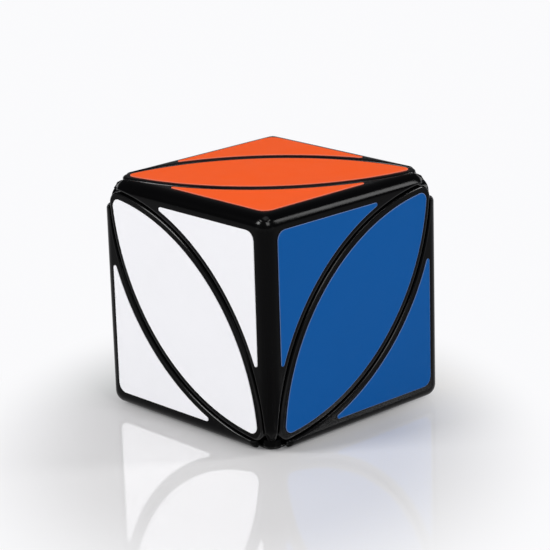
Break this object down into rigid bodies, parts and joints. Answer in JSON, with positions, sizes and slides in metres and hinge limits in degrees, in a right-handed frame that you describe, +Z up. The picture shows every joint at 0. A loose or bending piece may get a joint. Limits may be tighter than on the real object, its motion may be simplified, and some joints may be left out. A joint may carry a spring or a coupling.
{
  "type": "corner-turning puzzle cube",
  "caption": "Twisty puzzle cube with turning corners and leaf-shaped face pieces that ride with them, sprung on a screwed core, with coloured stickers.",
  "frame": {"origin": "middle of the face the cube stands on", "axes": "+Z up, -Y the front face (left in the picture), +X the right face (right in the picture)"},
  "size_m": [0.0554, 0.0554, 0.0554],
  "materials": {
    "black_plastic": "glossy black ABS",
    "inner_plastic": "plain black ABS, lubricated",
    "core_plastic": "plain white nylon",
    "steel": "zinc-plated steel",
    "vinyl_top": "satin coloured vinyl sticker",
    "vinyl_bottom": "satin coloured vinyl sticker",
    "vinyl_right": "satin coloured vinyl sticker",
    "vinyl_left": "satin coloured vinyl sticker",
    "vinyl_front": "satin coloured vinyl sticker",
    "vinyl_back": "satin coloured vinyl sticker"
  },
  "bodies": {
    "core": {"core": "core_plastic", "corner_top_front_screw": "steel", "corner_top_front_washer": "steel", "corner_top_front_spring": "steel", "corner_top_back_screw": "steel", "corner_top_back_washer": "steel", "corner_top_back_spring": "steel", "corner_bottom_right_screw": "steel", "corner_bottom_right_washer": "steel", "corner_bottom_right_spring": "steel", "corner_bottom_left_screw": "steel", "corner_bottom_left_washer": "steel", "corner_bottom_left_spring": "steel"},
    "corner_top_front": {"corner_top_front_shell": "black_plastic", "corner_top_front_spindle": "inner_plastic", "corner_top_front_sticker_top": "vinyl_top", "corner_top_front_sticker_right": "vinyl_right", "corner_top_front_sticker_front": "vinyl_front"},
    "corner_top_back": {"corner_top_back_shell": "black_plastic", "corner_top_back_spindle": "inner_plastic", "corner_top_back_sticker_top": "vinyl_top", "corner_top_back_sticker_left": "vinyl_left", "corner_top_back_sticker_back": "vinyl_back"},
    "corner_bottom_right": {"corner_bottom_right_shell": "black_plastic", "corner_bottom_right_spindle": "inner_plastic", "corner_bottom_right_sticker_bottom": "vinyl_bottom", "corner_bottom_right_sticker_right": "vinyl_right", "corner_bottom_right_sticker_back": "vinyl_back"},
    "corner_bottom_left": {"corner_bottom_left_shell": "black_plastic", "corner_bottom_left_spindle": "inner_plastic", "corner_bottom_left_sticker_bottom": "vinyl_bottom", "corner_bottom_left_sticker_left": "vinyl_left", "corner_bottom_left_sticker_front": "vinyl_front"},
    "petal_top": {"petal_top_shell": "black_plastic", "petal_top_foot": "inner_plastic", "petal_top_sticker": "vinyl_top"},
    "petal_right": {"petal_right_shell": "black_plastic", "petal_right_foot": "inner_plastic", "petal_right_sticker": "vinyl_right"},
    "petal_front": {"petal_front_shell": "black_plastic", "petal_front_foot": "inner_plastic", "petal_front_sticker": "vinyl_front"},
    "petal_back": {"petal_back_shell": "black_plastic", "petal_back_foot": "inner_plastic", "petal_back_sticker": "vinyl_back"},
    "petal_left": {"petal_left_shell": "black_plastic", "petal_left_foot": "inner_plastic", "petal_left_sticker": "vinyl_left"},
    "petal_bottom": {"petal_bottom_shell": "black_plastic", "petal_bottom_foot": "inner_plastic", "petal_bottom_sticker": "vinyl_bottom"}
  },
  "joints": [
    {"name": "turn_top_front", "type": "hinge", "parent": "core", "child": "corner_top_front", "pos_m": [0, 0, 0.0277], "axis": [0.5774, -0.5774, 0.5774], "range_deg": [-240, 120]},
    {"name": "turn_top_back", "type": "hinge", "parent": "core", "child": "corner_top_back", "pos_m": [0, 0, 0.0277], "axis": [-0.5774, 0.5774, 0.5774], "range_deg": [-240, 120]},
    {"name": "turn_bottom_right", "type": "hinge", "parent": "core", "child": "corner_bottom_right", "pos_m": [0, 0, 0.0277], "axis": [0.5774, 0.5774, -0.5774], "range_deg": [-240, 120]},
    {"name": "turn_bottom_left", "type": "hinge", "parent": "core", "child": "corner_bottom_left", "pos_m": [0, 0, 0.0277], "axis": [-0.5774, -0.5774, -0.5774], "range_deg": [-240, 120]},
    {"name": "petal_top_ride", "type": "hinge", "parent": "corner_top_front", "child": "petal_top", "pos_m": [0, 0, 0.0277], "axis": [-0.5774, 0.5774, 0.5774], "range_deg": [-240, 120]},
    {"name": "petal_right_ride", "type": "hinge", "parent": "corner_top_front", "child": "petal_right", "pos_m": [0, 0, 0.0277], "axis": [0.5774, 0.5774, -0.5774], "range_deg": [-240, 120]},
    {"name": "petal_front_ride", "type": "hinge", "parent": "corner_top_front", "child": "petal_front", "pos_m": [0, 0, 0.0277], "axis": [-0.5774, -0.5774, -0.5774], "range_deg": [-240, 120]},
    {"name": "petal_back_ride", "type": "hinge", "parent": "corner_bottom_right", "child": "petal_back", "pos_m": [0, 0, 0.0277], "axis": [-0.5774, 0.5774, 0.5774], "range_deg": [-240, 120]},
    {"name": "petal_left_ride", "type": "hinge", "parent": "corner_top_back", "child": "petal_left", "pos_m": [0, 0, 0.0277], "axis": [-0.5774, -0.5774, -0.5774], "range_deg": [-240, 120]},
    {"name": "petal_bottom_ride", "type": "hinge", "parent": "corner_bottom_left", "child": "petal_bottom", "pos_m": [0, 0, 0.0277], "axis": [0.5774, 0.5774, -0.5774], "range_deg": [-240, 120]}
  ],
  "couplings": [
    {"joint": "petal_top_ride", "follows": "turn_top_back", "ratio": 1},
    {"joint": "petal_right_ride", "follows": "turn_bottom_right", "ratio": 1},
    {"joint": "petal_front_ride", "follows": "turn_bottom_left", "ratio": 1},
    {"joint": "petal_back_ride", "follows": "turn_top_back", "ratio": 1},
    {"joint": "petal_left_ride", "follows": "turn_bottom_left", "ratio": 1},
    {"joint": "petal_bottom_ride", "follows": "turn_bottom_right", "ratio": 1}
  ]
}
